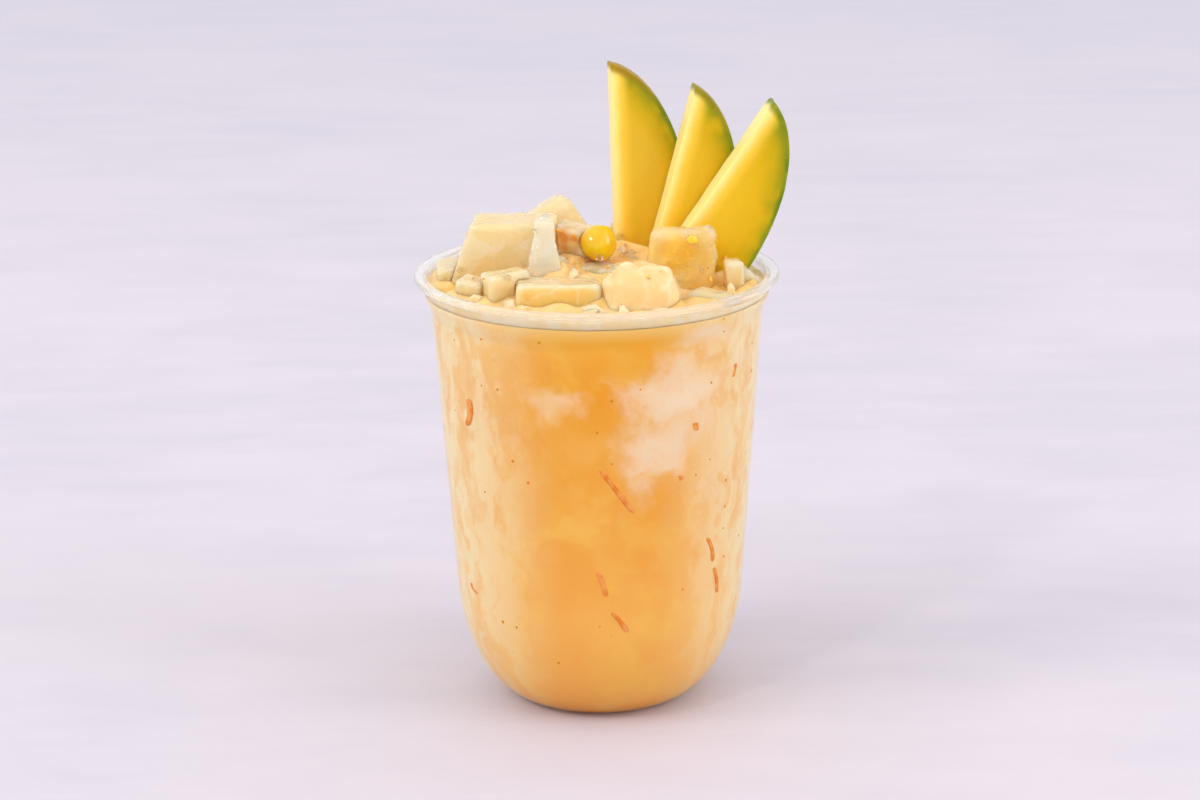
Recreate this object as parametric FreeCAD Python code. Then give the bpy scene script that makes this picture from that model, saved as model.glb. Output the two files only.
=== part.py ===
"""Iced mango milk tea in a clear 500 ml cup with a round bottom, three mango slices fanned in its ice.

Millimetres. The origin is on the cup's axis, in the plane of the foot ring that the cup stands on.
+Z is up, the slices stand to the right of the axis (+X), and -Y is the front.
"""
import FreeCAD, Part
import math
import os

from FreeCAD import Placement, Rotation, Vector

X, Y, Z = Vector(1, 0, 0), Vector(0, 1, 0), Vector(0, 0, 1)

# Cup: a 95 mm rim, a slightly tapered wall and a quarter-ellipse corner down to a small foot.
CUP_HEIGHT = 115.2
RIM_RADIUS = 47.5
WALL = 0.8                   # thickness of the wall, shoulder and rim
FLOOR = 1.2                  # thickness at the middle of the bottom
FOOT_RADIUS = 18.0           # outer edge of the flat foot ring
FOOT_WIDTH = 3.5
FOOT_RECESS = 0.8            # how far the bottom inside the foot ring is raised
CORNER_HEIGHT = 36.0         # vertical half-axis of the corner ellipse
NECK_HEIGHT = 106.0          # where the tapered wall ends and the stacking shoulder starts
NECK_RADIUS = 43.25          # outside radius there
TAPER = 0.072                # growth of the wall's radius for each mm of height
SHOULDER_HEIGHT = 110.0      # where the shoulder has reached the collar
COLLAR_RADIUS = 44.9         # outside radius of the collar under the rim
RIM_DROP = 1.5               # height of the rim's outer edge
RIM_ROUND = 0.6              # rounding of the rim's edges

# Contents.
LEVEL = 110.8                # surface of the drink
SLICE_THICKNESS = 7.5
SLICE_GAP = 0.1              # between neighbours in the fan
MANGO_HALF_LENGTH = 42.0     # the fruit is a spheroid about its long axis
MANGO_HALF_WIDTH = 22.9
STONE_CUT = 2.6              # distance from the fruit's axis to the flat cut beside the stone
FAN_TURN = 8.0               # the slices' faces turn this far towards +X
FAN_OFFSET = 2.6             # distance of the front slice's middle plane from the cup's axis
PEARL_RADIUS = 5.0
PEARL_CENTRE = Vector(0.7, -6.0, 124.0)
LID_ROOM = 40.0              # how far the inside of the cup is carried on above the rim

# Fan of slices, front one first: how far the tip is across and up, and how far the slice leans.
SLICES = {
    "mango_slice_1": (45.8, 159.4, 35.2),
    "mango_slice_2": (25.8, 162.7, 15.2),
    "mango_slice_3": (3.7, 167.9, -1.4),
}

# Ice cubes. top is the middle of a cube's upper face, size its width, depth and height, turns its
# rotation about Z, X and Y, drawn_in how much narrower the upper face is on its left and right, and
# melt the radius of its edges. A cube listed later gives way to those above it.
ICE = {
    "ice_left": dict(
        top=(-21.2, -1.0, 129.6), size=(32.0, 17.0, 24.0), turns=(-6, 2, -1), drawn_in=(9.0, 1.5), melt=1.6
    ),
    "ice_back": dict(
        top=(-14.4, 17.8, 128.7), size=(16.5, 15.0, 23.0), turns=(6, -3, -30), drawn_in=(0.8, 0.8), melt=4.2
    ),
    "ice_shard": dict(
        top=(-13.4, -12.6, 132.0), size=(13.0, 6.6, 26.0), turns=(6, 3, -3), drawn_in=(5.0, 3.6), melt=1.2
    ),
    "ice_amber": dict(
        top=(-5.6, -1.2, 127.6), size=(12.0, 10.5, 22.0), turns=(-14, 4, 9), drawn_in=(0.6, 1.4), melt=1.4
    ),
    "ice_front": dict(
        top=(-9.9, -23.2, 118.3), size=(22.5, 14.0, 16.0), turns=(3, -3, 1), drawn_in=(0.6, 0.6), melt=1.4
    ),
    "ice_mound": dict(
        top=(11.8, -27.0, 124.2), size=(24.0, 17.5, 24.0), turns=(-8, -3, 4), drawn_in=(1.8, 3.2), melt=7.2
    ),
    "ice_clear": dict(
        top=(22.6, -11.2, 129.8), size=(21.5, 12.0, 25.0), turns=(7, 3, 4), drawn_in=(2.0, 1.0), melt=3.8
    ),
    "ice_seat": dict(
        top=(1.6, -8.8, 119.0), size=(16.0, 11.5, 16.0), turns=(6, 0, 0), drawn_in=(0.6, 0.6), melt=1.8
    ),
    "ice_middle": dict(
        top=(8.6, 1.6, 119.4), size=(12.0, 11.0, 16.0), turns=(-20, -3, 5), drawn_in=(0.8, 0.8), melt=1.6
    ),
    "ice_chip_right": dict(
        top=(35.0, -11.6, 120.4), size=(5.0, 6.2, 16.0), turns=(14, 4, -3), drawn_in=(0.3, 0.3), melt=0.8
    ),
    "ice_edge_right": dict(
        top=(40.0, -5.2, 115.4), size=(8.0, 10.0, 12.0), turns=(10, 0, 42), drawn_in=(0.3, 0.3), melt=1.2
    ),
    "ice_low_right": dict(
        top=(29.6, -23.6, 115.4), size=(14.0, 11.0, 14.0), turns=(-30, -4, 3), drawn_in=(0.8, 0.8), melt=3.0
    ),
    "ice_small_left": dict(
        top=(-31.6, -17.4, 117.8), size=(8.0, 8.0, 15.0), turns=(-24, 5, 4), drawn_in=(0.4, 0.4), melt=1.2
    ),
    "ice_low_left": dict(
        top=(-23.6, -19.6, 120.2), size=(13.5, 10.5, 17.0), turns=(20, -4, -5), drawn_in=(1.0, 1.4), melt=1.4
    ),
    "ice_edge_left": dict(
        top=(-38.6, 0.6, 117.6), size=(8.0, 13.0, 14.0), turns=(4, 2, -8), drawn_in=(0.4, 0.8), melt=1.4
    ),
    "ice_back_left": dict(
        top=(-23.4, 21.2, 121.8), size=(19.5, 16.5, 21.0), turns=(-26, 3, 4), drawn_in=(0.8, 0.8), melt=2.4
    ),
    "ice_back_right": dict(
        top=(12.2, 30.2, 122.4), size=(18.5, 14.0, 21.0), turns=(-8, -3, -4), drawn_in=(0.8, 0.8), melt=2.0
    ),
    "ice_rear": dict(
        top=(-7.0, 34.4, 118.4), size=(16.5, 11.5, 16.0), turns=(14, 4, 3), drawn_in=(0.8, 0.8), melt=2.2
    ),
    "ice_rear_right": dict(
        top=(28.6, 24.6, 116.4), size=(12.0, 11.5, 14.0), turns=(-38, 4, 2), drawn_in=(0.8, 0.8), melt=1.8
    ),
}


def wall_radius(height, inset=0.0):
    """Outside radius of the tapered wall, or of the surface that lies inset within it."""
    slant = math.sqrt(1 + TAPER**2)
    return NECK_RADIUS - TAPER * (NECK_HEIGHT - height) - inset * slant


def at(radius, height):
    """A point of a profile in the half-plane that is turned about the cup's axis."""
    return Vector(radius, 0, height)


def corner(inset, floor):
    """The corner ellipse's edge from the foot up to where the tapered wall is tangent to it."""
    drop = CORNER_HEIGHT - floor
    reach = wall_radius(CORNER_HEIGHT, inset) - FOOT_RADIUS
    half_width = math.sqrt(reach**2 - (TAPER * drop) ** 2)
    centre = at(FOOT_RADIUS, CORNER_HEIGHT)
    ellipse = Part.Ellipse(centre - Z * drop, centre + X * half_width, centre)
    tangent = math.atan(TAPER * drop / half_width)
    meets = centre + X * (half_width * math.cos(tangent)) - Z * (drop * math.sin(tangent))
    foot = centre - Z * drop
    start, end = sorted((ellipse.parameter(foot), ellipse.parameter(meets)))
    return Part.ArcOfEllipse(ellipse, start, end).toShape(), foot, meets


def chain(*points):
    """Straight edges through the points."""
    return [Part.LineSegment(a, b).toShape() for a, b in zip(points, points[1:])]


def turned(edges):
    """The solid that a closed profile makes when it is turned about the cup's axis."""
    wires = Part.sortEdges(edges)
    face = Part.Face(Part.Wire(wires[0]))
    return Part.makeSolid(face.revolve(Vector(), Z, 360))


def cup():
    """Thin injection-moulded cup: foot ring, round corner, tapered wall, shoulder, collar and flat rim."""
    outer, foot, neck_start = corner(0, 0)
    inner, well, inner_start = corner(WALL, FLOOR)
    slant = math.sqrt(1 + TAPER**2)
    ring = FOOT_RADIUS - FOOT_WIDTH
    collar, rim_under = COLLAR_RADIUS, CUP_HEIGHT - RIM_DROP
    outside = chain(
        neck_start,
        at(NECK_RADIUS, NECK_HEIGHT),
        at(collar, SHOULDER_HEIGHT),
        at(collar, rim_under),
        at(RIM_RADIUS, rim_under),
        at(RIM_RADIUS, CUP_HEIGHT),
        at(collar - WALL, CUP_HEIGHT),
        at(collar - WALL, SHOULDER_HEIGHT + WALL / 3),
        at(NECK_RADIUS - WALL * slant, NECK_HEIGHT + WALL / 3),
        inner_start,
    )
    bottom = chain(
        well,
        at(0, FLOOR + FOOT_RECESS),
        at(0, FOOT_RECESS),
        at(ring - FOOT_RECESS, FOOT_RECESS),
        at(ring, 0),
        foot,
    )
    solid = turned(outside + bottom + [outer, inner])
    rim_edges = [e for e in solid.Edges if is_ring(e, CUP_HEIGHT) or is_ring(e, rim_under, RIM_RADIUS)]
    return solid.makeFillet(RIM_ROUND, rim_edges)


def is_ring(edge, height, radius=None):
    """Whether the edge is a circle at this height, and of this radius if one is given."""
    if not isinstance(edge.Curve, Part.Circle) or abs(edge.Curve.Center.z - height) > 1e-6:
        return False
    return radius is None or abs(edge.Curve.Radius - radius) < 1e-6


def cavity(top):
    """The inside of the cup from its floor up to the height top."""
    inner, well, inner_start = corner(WALL, FLOOR)
    neck = at(NECK_RADIUS - WALL * math.sqrt(1 + TAPER**2), NECK_HEIGHT + WALL / 3)
    mouth = COLLAR_RADIUS - WALL
    profile = chain(
        inner_start,
        neck,
        at(mouth, SHOULDER_HEIGHT + WALL / 3),
        at(mouth, top),
        at(0, top),
        at(0, FLOOR + FOOT_RECESS),
        well,
    )
    return turned(profile + [inner])


def spheroid(half_length, half_width):
    """A fruit's shape: an ellipse turned about its long axis, which lies along Z."""
    tip, side = Z * half_length, X * half_width
    ellipse = Part.Ellipse(tip, side, Vector())
    start, end = sorted((ellipse.parameter(side), ellipse.parameter(tip)))
    quarter = Part.ArcOfEllipse(ellipse, start, end).toShape()
    upper = turned([quarter] + chain(tip, Vector(), side))
    lower = upper.mirror(Vector(), Z)
    return upper.fuse(lower).removeSplitter()


def mango_slice(order, tip_across, tip_up, lean):
    """A slice of mango cheek: round skin side, two parallel cut faces, and the flat cut beside the stone."""
    fruit = spheroid(MANGO_HALF_LENGTH, MANGO_HALF_WIDTH)
    reach = 2 * MANGO_HALF_LENGTH
    slab = Part.makeBox(reach, SLICE_THICKNESS, reach)
    slab.translate(Vector(STONE_CUT, -SLICE_THICKNESS / 2, -MANGO_HALF_LENGTH))
    piece = fruit.common(slab).Solids[0]
    tip_height = MANGO_HALF_LENGTH * math.sqrt(1 - (STONE_CUT / MANGO_HALF_WIDTH) ** 2)
    piece.translate(Vector(-STONE_CUT, 0, -tip_height))
    turn = math.radians(FAN_TURN)
    plane = FAN_OFFSET - order * (SLICE_THICKNESS + SLICE_GAP)
    tip_back = (tip_across * math.sin(turn) - plane) / math.cos(turn)
    rotation = Rotation(Z, FAN_TURN).multiply(Rotation(Y, lean))
    piece.Placement = Placement(Vector(tip_across, tip_back, tip_up), rotation).multiply(piece.Placement)
    return piece


def ice_cube(top, size, turns, drawn_in, melt):
    """A cube from an ice machine: narrower at its top, its edges melted round, then turned and tipped."""
    width, depth, height = size
    left, right = drawn_in
    draft = min(left, right, depth / 8)
    cube = Part.makeWedge(0, 0, 0, draft, left, width, height, depth, depth - draft, width - right)
    cube.rotate(Vector(), X, 90)
    cube = cube.makeFillet(melt, cube.Edges)
    cube.translate(Vector(-(width + left - right) / 2, depth / 2, -height))
    about_z, about_x, about_y = turns
    rotation = Rotation(Z, about_z).multiply(Rotation(X, about_x)).multiply(Rotation(Y, about_y))
    cube.Placement = Placement(Vector(*top), rotation).multiply(cube.Placement)
    return cube


def build():
    """All nodes by name."""
    nodes = {"cup": cup()}
    for order, (name, (across, up, lean)) in enumerate(SLICES.items()):
        nodes[name] = mango_slice(order, across, up, lean)
    pearl = Part.makeSphere(PEARL_RADIUS, PEARL_CENTRE)
    nodes["mango_pearl"] = pearl

    inside = cavity(CUP_HEIGHT + LID_ROOM)
    taken = [nodes[name] for name in SLICES] + [pearl]
    for name, form in ICE.items():
        pieces = ice_cube(**form).common(inside).cut(taken).Solids
        nodes[name] = max(pieces, key=lambda piece: piece.Volume)
        taken.append(nodes[name])

    nodes["drink"] = cavity(LEVEL).cut(taken)
    return nodes


os.makedirs("parts", exist_ok=True)
for name, shape in build().items():
    solid = shape.Solids[0] if len(shape.Solids) == 1 else shape
    box = solid.optimalBoundingBox()
    print(
        f"{name:16s} valid {solid.isValid()} solids {len(shape.Solids)} volume {solid.Volume / 1000:8.2f} ml"
        f" x {box.XMin:.1f}..{box.XMax:.1f} y {box.YMin:.1f}..{box.YMax:.1f} z {box.ZMin:.1f}..{box.ZMax:.1f}"
    )
    solid.exportStep(f"parts/{name}.step")
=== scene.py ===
"""Looks of the iced mango milk tea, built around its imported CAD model.

Sizes are in millimetres, as in the part's source, and become metres where a mesh is made. The frame is
the CAD's: the origin in the plane of the cup's foot, +Z up, the mango slices towards +X, -Y the front.
"""
import math
import random

import bmesh
import bpy
import numpy as np
from mathutils import Matrix, Vector, noise
from mathutils.bvhtree import BVHTree


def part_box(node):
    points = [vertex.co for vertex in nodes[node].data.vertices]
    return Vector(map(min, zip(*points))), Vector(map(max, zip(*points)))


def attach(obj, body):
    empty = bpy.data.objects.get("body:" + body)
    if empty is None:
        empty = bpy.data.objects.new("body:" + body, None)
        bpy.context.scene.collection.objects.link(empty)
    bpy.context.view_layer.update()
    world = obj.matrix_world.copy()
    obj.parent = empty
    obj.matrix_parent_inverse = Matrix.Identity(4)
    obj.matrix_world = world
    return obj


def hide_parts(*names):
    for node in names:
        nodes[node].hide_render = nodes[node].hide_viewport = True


MM = 0.001

# The cup's profile, as in the part's source.
WALL = 0.8
FLOOR = 1.2
FOOT_RADIUS = 18.0
FOOT_WIDTH = 3.5
FOOT_RECESS = 0.8
CORNER_HEIGHT = 36.0
NECK_HEIGHT = 106.0
NECK_RADIUS = 43.25
TAPER = 0.072
SHOULDER_HEIGHT = 110.0
COLLAR_RADIUS = 44.9
RIM_DROP = 1.5
SLANT = math.sqrt(1 + TAPER**2)
MOUTH_RADIUS = COLLAR_RADIUS - WALL

# How the cup and what is in it are meshed.
ROUND_SEGMENTS = 256  # round the cup's axis
INTO_WALL = 0.15  # how far the contents reach into the wall, so that no gap shows
FOOT_EASE = 0.4  # how far the edges of the foot ring are rounded off
RIM_EASE = 0.6  # the same for the neck, shoulder, collar and rim

# The fan of slices, as in the part's source: tip across and up, and lean in degrees.
LEVEL = 110.8
SLICE_THICKNESS = 7.5
SLICE_GAP = 0.1
MANGO_HALF_LENGTH = 42.0
MANGO_HALF_WIDTH = 22.9
STONE_CUT = 2.6
FAN_TURN = 8.0
FAN_OFFSET = 2.6
SLICES = {
    "mango_slice_1": (45.8, 159.4, 35.2),
    "mango_slice_2": (25.8, 162.7, 15.2),
    "mango_slice_3": (3.7, 167.9, -1.4),
}

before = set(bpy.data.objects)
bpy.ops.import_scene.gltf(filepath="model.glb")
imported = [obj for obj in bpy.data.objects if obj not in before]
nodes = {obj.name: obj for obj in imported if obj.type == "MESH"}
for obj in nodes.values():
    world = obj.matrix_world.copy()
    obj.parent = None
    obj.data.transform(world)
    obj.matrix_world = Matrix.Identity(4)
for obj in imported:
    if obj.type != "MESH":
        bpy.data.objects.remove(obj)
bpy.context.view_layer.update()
RIM_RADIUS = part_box("cup")[1].x / MM
CUP_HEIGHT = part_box("cup")[1].z / MM


# ------------------------ shapes

def new_object(name, data):
    made = bpy.data.objects.new(name, data)
    bpy.context.scene.collection.objects.link(made)
    return made


def mesh_object(name, points, faces):
    """A smooth mesh object from points in millimetres."""
    mesh = bpy.data.meshes.new(name)
    mesh.from_pydata([tuple(c * MM for c in p) for p in points], [], faces)
    mesh.validate()
    mesh.polygons.foreach_set("use_smooth", [True] * len(mesh.polygons))
    mesh.update()
    return new_object(name, mesh)


def finish_piece(piece, materials, slot, *replaced):
    """Gives a piece its materials, its body and the CAD nodes that it stands for. The slot is not used."""
    indices = [face.material_index for face in piece.data.polygons]
    piece.data.materials.clear()
    for material in materials if isinstance(materials, list) else [materials]:
        piece.data.materials.append(material)
    piece.data.polygons.foreach_set("material_index", indices)
    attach(piece, "root")
    if replaced:
        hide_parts(*replaced)
    return piece


def second_material(piece, belongs):
    """Gives a piece's second material to the faces whose middle, in millimetres, belongs says it for."""
    for face in piece.data.polygons:
        face.material_index = int(belongs(face.center / MM))
    return piece


def outwards(piece, weld=True):
    """Turns a closed mesh's faces so that they look outwards, and can weld points that coincide."""
    mesh = bmesh.new()
    mesh.from_mesh(piece.data)
    if weld:
        bmesh.ops.remove_doubles(mesh, verts=mesh.verts, dist=1e-6)
    bmesh.ops.recalc_face_normals(mesh, faces=mesh.faces)
    mesh.to_mesh(piece.data)
    mesh.free()
    return piece


def points_and_faces(mesh):
    """Takes the points and the faces out of a bmesh, and frees it."""
    mesh.verts.index_update()
    made = [v.co.copy() for v in mesh.verts], [tuple(v.index for v in f.verts) for f in mesh.faces]
    mesh.free()
    return made


def ball(radius, subdivisions):
    """Points and faces of a ball about the origin."""
    mesh = bmesh.new()
    bmesh.ops.create_icosphere(mesh, subdivisions=subdivisions, radius=radius)
    return points_and_faces(mesh)


def add_shape(points, faces, corners, sides):
    """Adds one shape's corners and sides to the points and faces of a larger mesh."""
    start = len(points)
    points += corners
    faces += [tuple(start + i for i in side) for side in sides]


def ring_faces(rings, size):
    """Faces over a stack of rings of size points, with one point before the first and one after the last."""
    faces = []
    last = 1 + (rings - 1) * size
    for k in range(size):
        following = (k + 1) % size
        faces.append((0, 1 + following, 1 + k))
        faces.append((last + k, last + following, last + size))
        for ring in range(rings - 1):
            a = 1 + ring * size
            faces.append((a + k, a + following, a + size + following, a + size + k))
    return faces


def rounded_corner(start, corner, end, steps):
    """Points of a smooth curve from start to end that is drawn towards the corner."""
    shares = [i / steps for i in range(steps + 1)]
    return [tuple(start * (1 - t) ** 2 + corner * 2 * t * (1 - t) + end * t**2) for t in shares]


def softened(profile, size, steps=4):
    """A profile whose corners are rounded off over the given size, and at most 0.45 of a side. Where it
    turns by less than 8 degrees it stays."""
    rounded = [profile[0]]
    for before, corner, after in zip(profile, profile[1:], profile[2:]):
        into, out = Vector(before) - Vector(corner), Vector(after) - Vector(corner)
        if into.angle(out, math.pi) > math.radians(180 - 8):
            rounded.append(corner)
            continue
        start = Vector(corner) + into.normalized() * min(size, into.length * 0.45)
        end = Vector(corner) + out.normalized() * min(size, out.length * 0.45)
        rounded += rounded_corner(start, Vector(corner), end, steps)
    return rounded + [profile[-1]]


def circle(radius):
    """Points round the cup's axis."""
    bearings = [2 * math.pi * k / ROUND_SEGMENTS for k in range(ROUND_SEGMENTS)]
    return [(radius * math.cos(bearing), radius * math.sin(bearing)) for bearing in bearings]


def turned(name, profile):
    """The closed surface that a profile of (radius, height) makes when it is turned about the cup's axis.
    The profile starts and ends on the axis."""
    points = [(0, 0, profile[0][1])]
    for radius, height in profile[1:-1]:
        points += [(x, y, height) for x, y in circle(radius)]
    points.append((0, 0, profile[-1][1]))
    return outwards(mesh_object(name, points, ring_faces(len(profile) - 2, ROUND_SEGMENTS)))


def wall_radius(height, inset=0.0):
    """Outside radius of the tapered wall, or of the surface that lies inset within it."""
    return NECK_RADIUS - TAPER * (NECK_HEIGHT - height) - inset * SLANT


def bend(height, inset):
    """Where the wall's bend of that height, its neck or shoulder, is on the surface inset within it."""
    return height + inset / 3


def corner_profile(inset, floor, steps=28):
    """Points of the corner ellipse from the foot up to where the tapered wall is tangent to it."""
    drop = CORNER_HEIGHT - floor
    reach = wall_radius(CORNER_HEIGHT, inset) - FOOT_RADIUS
    half_width = math.sqrt(reach**2 - (TAPER * drop) ** 2)
    tangent = math.atan(TAPER * drop / half_width)
    turns = [math.pi / 2 + (tangent - math.pi / 2) * i / steps for i in range(steps + 1)]
    return [(FOOT_RADIUS + half_width * math.cos(t), CORNER_HEIGHT - drop * math.sin(t)) for t in turns]


def up_the_wall(start, inset, steps=24):
    """Points of the tapered wall from start up to the neck."""
    rise = bend(NECK_HEIGHT, inset) - start[1]
    heights = [start[1] + rise * i / steps for i in range(1, steps + 1)]
    return [(wall_radius(min(height, NECK_HEIGHT), inset), height) for height in heights]


def inner_radius(height):
    """Radius of the cup's inside at a height above the corner."""
    neck = wall_radius(min(height, NECK_HEIGHT), WALL)
    rise = (height - bend(NECK_HEIGHT, WALL)) / (SHOULDER_HEIGHT - NECK_HEIGHT)
    return neck + min(1.0, max(0.0, rise)) * (MOUTH_RADIUS - neck)


# ------------------------ shader nodes and colours

def srgb(red, green, blue):
    """A colour as a picture states it, from 0 to 255, in the linear numbers that shaders use."""
    shares = [c / 255 for c in (red, green, blue)]
    return (*(s / 12.92 if s < 0.04045 else ((s + 0.055) / 1.055) ** 2.4 for s in shares), 1.0)


def through_wall(red, green, blue):
    """The colour that a surface against the wall's plastic needs, so that it looks like the stated one.
    Some light is turned back within the wall, which would make the surface darker and more vivid."""
    passed, turned_back = 0.72, 0.25
    seen = srgb(red, green, blue)[:3]
    return (*(min(1.0, c / (passed + turned_back * c)) for c in seen), 1.0)


def scattering(weight, *reaches):
    """Settings for light that scatters within a surface: red, green and blue each over its millimetres."""
    radii = [reach * MM for reach in reaches]
    return {"Subsurface_Weight": weight, "Subsurface_Scale": 1.0, "Subsurface_Radius": radii}


class Shader:
    """A node material round one Principled shader. A method adds nodes and returns the last one's output."""

    def __init__(self, name, **plain):
        self.material = bpy.data.materials.new(name)
        self.material.use_nodes = True
        self.tree = self.material.node_tree
        self.principled = self.tree.nodes["Principled BSDF"]
        for socket, value in plain.items():
            self.principled.inputs[socket.replace("_", " ")].default_value = value
        on_object = self.node("TexCoord", {}, out="Object")
        self.place = self.node("VectorMath", {0: on_object, "Scale": 1 / MM}, operation="SCALE")

    def node(self, kind, inputs, out=0, **settings):
        made = self.tree.nodes.new("ShaderNode" + kind)
        for name, value in settings.items():
            setattr(made, name, value)
        for name, value in inputs.items():
            self.put(made.inputs[name], value)
        return made.outputs[out]

    def put(self, socket, value):
        if isinstance(value, bpy.types.NodeSocket):
            self.tree.links.new(value, socket)
        else:
            socket.default_value = value

    def drive(self, **linked):
        for socket, value in linked.items():
            self.put(self.principled.inputs[socket.replace("_", " ")], value)

    def noise(self, size, detail=3.0, rough=0.5, place=None, out=0):
        """Cloudy noise whose lumps are about size millimetres: its strength, or as Color three of them."""
        inputs = {"Vector": place or self.place, "Scale": 1 / size, "Detail": detail, "Roughness": rough}
        return self.node("TexNoise", inputs, out=out)

    def cells(self, size, out="Distance", place=None, feature="F1"):
        """Cells of about size millimetres: the distance to a cell's middle or edge, or a Color for each."""
        inputs = {"Vector": place or self.place, "Scale": 1 / size}
        return self.node("TexVoronoi", inputs, out=out, feature=feature)

    def maths(self, operation, a, b=0.0, clamp=False):
        return self.node("Math", {0: a, 1: b}, operation=operation, use_clamp=clamp)

    def vector(self, operation, a, b):
        return self.node("VectorMath", {0: a, 1: b}, operation=operation)

    def fit(self, value, low, high, to_low=0.0, to_high=1.0, smooth=True):
        """value from low..high to to_low..to_high, eased at both ends."""
        inputs = {"Value": value, "From Min": low, "From Max": high, "To Min": to_low, "To Max": to_high}
        return self.node("MapRange", inputs, interpolation_type="SMOOTHSTEP" if smooth else "LINEAR")

    def patches(self, size):
        """From 0 to 1 in soft patches of about size millimetres."""
        return self.fit(self.noise(size), 0.35, 0.65)

    def ramp(self, value, *stops):
        """Colours at places from 0 to 1: each stop is (place, colour)."""
        made = self.tree.nodes.new("ShaderNodeValToRGB")
        self.put(made.inputs[0], value)
        elements = made.color_ramp.elements
        while len(elements) < len(stops):
            elements.new(0.5)
        for element, (place, colour) in zip(elements, stops):
            element.position, element.color = place, colour
        return made.outputs[0]

    def mix(self, share, a, b):
        """a where share is 0, b where it is 1."""
        return self.node("Mix", {0: share, 6: a, 7: b}, out=2, data_type="RGBA")

    def attribute(self, name, out="Fac"):
        return self.node("Attribute", {}, out=out, attribute_name=name)

    def split(self, axis, vector=None):
        return self.node("SeparateXYZ", {0: vector or self.place}, out=axis)

    def bump(self, height, depth, under=None):
        """A normal that makes height, from 0 to 1, stand out by depth millimetres."""
        inputs = {"Height": height, "Distance": depth * MM, "Strength": 1.0}
        if under is not None:
            inputs["Normal"] = under
        return self.node("Bump", inputs)

    def blob(self, centre, half_sizes, place):
        """1 at the middle of a soft round patch and 0 outside it."""
        scaled = self.vector("DIVIDE", self.vector("SUBTRACT", place, centre), half_sizes)
        length = self.node("VectorMath", {0: scaled}, out="Value", operation="LENGTH")
        return self.fit(length, 1.0, 0.0)

    def warped(self, size, reach, detail=2.0):
        """The place, shifted by up to half of reach this way or that in lumps of about size millimetres."""
        shift = self.vector("SUBTRACT", self.noise(size, detail, out="Color"), (0.5, 0.5, 0.5))
        return self.node("VectorMath", {0: shift, 1: (reach,) * 3, 2: self.place}, operation="MULTIPLY_ADD")

    def specks(self, spacing, largest, rarity=1.0):
        """1 in round specks, at most one to a cell. The greater the rarity, the fewer of them are large."""
        size = self.maths("POWER", self.split("X", self.cells(spacing, out="Color")), rarity)
        return self.maths("LESS_THAN", self.cells(spacing), self.maths("MULTIPLY", size, largest))


# ------------------------ cup and drink

def clear_plastic(name, clear, rough):
    """The cup's plastic. clear is the share of light that goes through it, rough its least and most haze."""
    s = Shader(name, Base_Color=srgb(255, 254, 254), Transmission_Weight=clear, IOR=1.16)
    s.drive(Normal=s.bump(s.noise(9.0, 2.0), 0.06), Roughness=s.fit(s.noise(3.0), 0.3, 0.7, *rough))
    return s.material


# Milk clouds seen through the wall: middle across and up, half width and half height, strength.
MILK_CLOUDS = [
    (19.0, 92.0, 17.0, 9.0, 1.0), (15.0, 79.0, 13.0, 10.0, 0.9), (10.5, 69.0, 7.0, 9.0, 0.6),
    (-11.0, 91.0, 10.0, 5.0, 0.55), (38.0, 97.0, 4.0, 11.0, 0.8), (29.0, 66.0, 4.0, 9.0, 0.5),
    (-23.0, 52.0, 6.0, 8.0, 0.4), (27.0, 84.0, 9.0, 14.0, 0.6), (-38.0, 84.0, 5.0, 24.0, 0.5),
    (30.0, 106.0, 9.0, 5.0, 0.8), (-30.0, 107.0, 10.0, 4.0, 0.5),
]
CLOUD_FRONT = -40.0  # a cloud is strongest at the front wall
CLOUD_DEPTH = 42.0  # and fades away over this depth
CLOUD_SPREAD = 1.7  # how much wider than stated a cloud's faint edge reaches


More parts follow.
